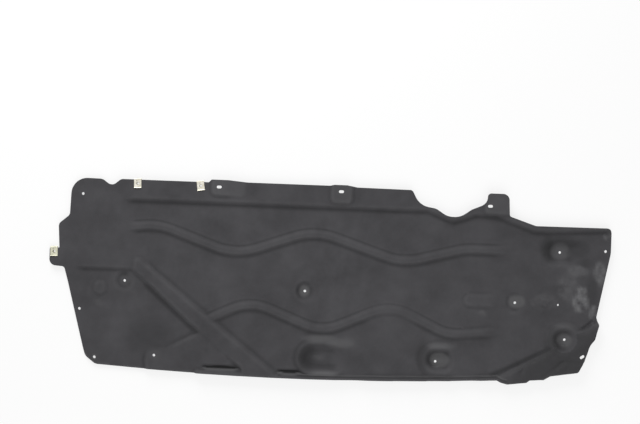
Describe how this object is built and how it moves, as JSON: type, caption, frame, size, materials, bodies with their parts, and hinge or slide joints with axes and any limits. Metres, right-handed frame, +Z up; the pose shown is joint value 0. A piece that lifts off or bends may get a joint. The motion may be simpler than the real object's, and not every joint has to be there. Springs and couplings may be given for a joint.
{
  "type": "underbody cover",
  "caption": "Black pressed-fibre underbody cover for a car, with wavy beads, screw seats, a raised flange and three clip nuts on its edge.",
  "frame": {"origin": "middle of the panel's length and width, on the plane of the screw seats' undersides", "axes": "+X along the panel's length, +Y towards the flanged inner edge with the tab, +Z up from the seats to the pressed forms"},
  "size_m": [1.402, 0.488, 0.025],
  "materials": {
    "pressed_fibre": "matte",
    "zinc_plated_steel": "satin"
  },
  "bodies": {
    "root": {"panel": "pressed_fibre", "top_edge_clip_left": "zinc_plated_steel", "top_edge_clip_right": "zinc_plated_steel", "side_edge_clip": "zinc_plated_steel"}
  },
  "joints": []
}
